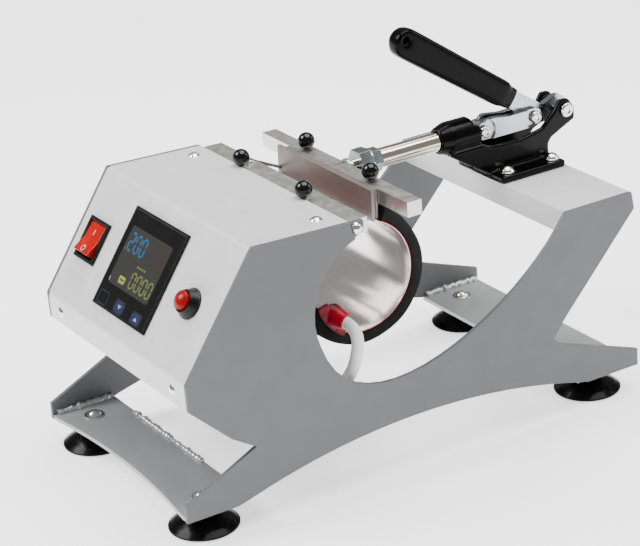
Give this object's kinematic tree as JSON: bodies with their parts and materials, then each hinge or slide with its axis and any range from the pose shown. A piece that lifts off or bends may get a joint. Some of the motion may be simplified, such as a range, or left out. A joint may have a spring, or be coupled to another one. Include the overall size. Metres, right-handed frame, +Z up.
{
  "type": "mug heat press",
  "caption": "Bench mug heat press with a sloped control box, a C-shaped heater between two side plates and a push-pull toggle clamp that closes it.",
  "frame": {"origin": "on the ground under the middle of the press, at the centre of its bounding box in X and Y", "axes": "+X to the right seen from the control panel, +Y from the control panel to the clamp, +Z up"},
  "size_m": [0.2035, 0.3875, 0.2731],
  "materials": {
    "frame_paint": "satin silver-grey powder coat",
    "cover_paint": "light silver-grey powder coat",
    "zinc": "zinc plated",
    "screw_steel": "bright zinc",
    "flange_steel": "heat-tinted steel",
    "liner_steel": "bright rolled steel",
    "red_silicone": "moulded silicone",
    "black_foam": "closed-cell foam",
    "lead_white": "woven silicone sleeve",
    "black_rubber": "moulded rubber",
    "ball_black": "polished phenolic",
    "chrome": "chrome plated",
    "cast_black": "black gloss enamel on casting",
    "link_steel": "zinc plated pressing",
    "panel_black": "glossy moulding",
    "screen_black": "tinted window",
    "body_black": "matte moulding",
    "switch_red": "translucent red",
    "button_red": "glossy red",
    "board_green": "solder mask"
  },
  "bodies": {
    "frame": {"left_side_plate": "frame_paint", "right_side_plate": "frame_paint", "front_cross_plate": "frame_paint", "rear_cross_plate": "frame_paint", "clamp_table": "cover_paint", "box_cover": "cover_paint", "box_floor": "frame_paint", "box_rear_wall": "frame_paint", "cover_screws": "screw_steel", "foot_front_left": "black_rubber", "foot_front_right": "black_rubber", "foot_rear_left": "black_rubber", "foot_rear_right": "black_rubber", "foot_bolts": "screw_steel", "front_bar": "zinc", "bar_brackets": "zinc", "bar_bolts": "screw_steel", "front_flange": "flange_steel", "hanger_rod": "screw_steel", "front_balls": "ball_black", "heater_liner_front": "liner_steel", "heater_mat_front": "red_silicone", "heater_foam_front": "black_foam", "lead_boot": "red_silicone", "heater_lead": "lead_white", "lead_gland": "black_rubber", "clamp_body": "cast_black", "clamp_bolts": "screw_steel", "body_pin": "screw_steel", "controller_bezel": "panel_black", "controller_face": "screen_black", "controller_body": "body_black", "switch_housing": "panel_black", "button_housing": "panel_black", "power_inlet": "body_black", "relay_board": "board_green"},
    "handle": {"handle_plate": "link_steel", "handle_grip": "black_rubber", "link_pin": "screw_steel"},
    "link": {"link_plates": "link_steel", "plunger_pin": "screw_steel"},
    "plunger": {"plunger": "chrome", "plunger_nuts": "zinc", "rear_bar": "zinc", "rear_pins": "screw_steel", "rear_balls": "ball_black", "rear_flange": "flange_steel", "heater_liner_rear": "liner_steel", "heater_mat_rear": "red_silicone", "heater_foam_rear": "black_foam"},
    "rocker": {"switch_rocker": "switch_red"},
    "button": {"button_cap": "button_red"}
  },
  "joints": [
    {"name": "handle_pivot", "type": "hinge", "parent": "frame", "child": "handle", "pos_m": [0, 0.1843, 0.1868], "axis": [-1, 0, 0], "range_deg": [0, 110]},
    {"name": "link_pivot", "type": "hinge", "parent": "handle", "child": "link", "pos_m": [0, 0.1617, 0.18468], "axis": [1, 0, 0], "range_deg": [0, 143.5]},
    {"name": "plunger_slide", "type": "slide", "parent": "frame", "child": "plunger", "axis": [0, 1, 0], "range_m": [0, 0.0357]},
    {"name": "rocker_pivot", "type": "hinge", "parent": "frame", "child": "rocker", "pos_m": [-0.0729, -0.15787, 0.15205], "axis": [1, 0, 0], "range_deg": [0, 24]},
    {"name": "button_press", "type": "slide", "parent": "frame", "child": "button", "axis": [0, 0.8177, -0.5756], "range_m": [0, 0.003], "stiffness_N_per_m": 300}
  ],
  "couplings": [
    {"joint": "link_pivot", "follows": "handle_pivot", "ratio": 1.2991},
    {"joint": "plunger_slide", "follows": "handle_pivot", "m_per_rad": 0.018517}
  ]
}
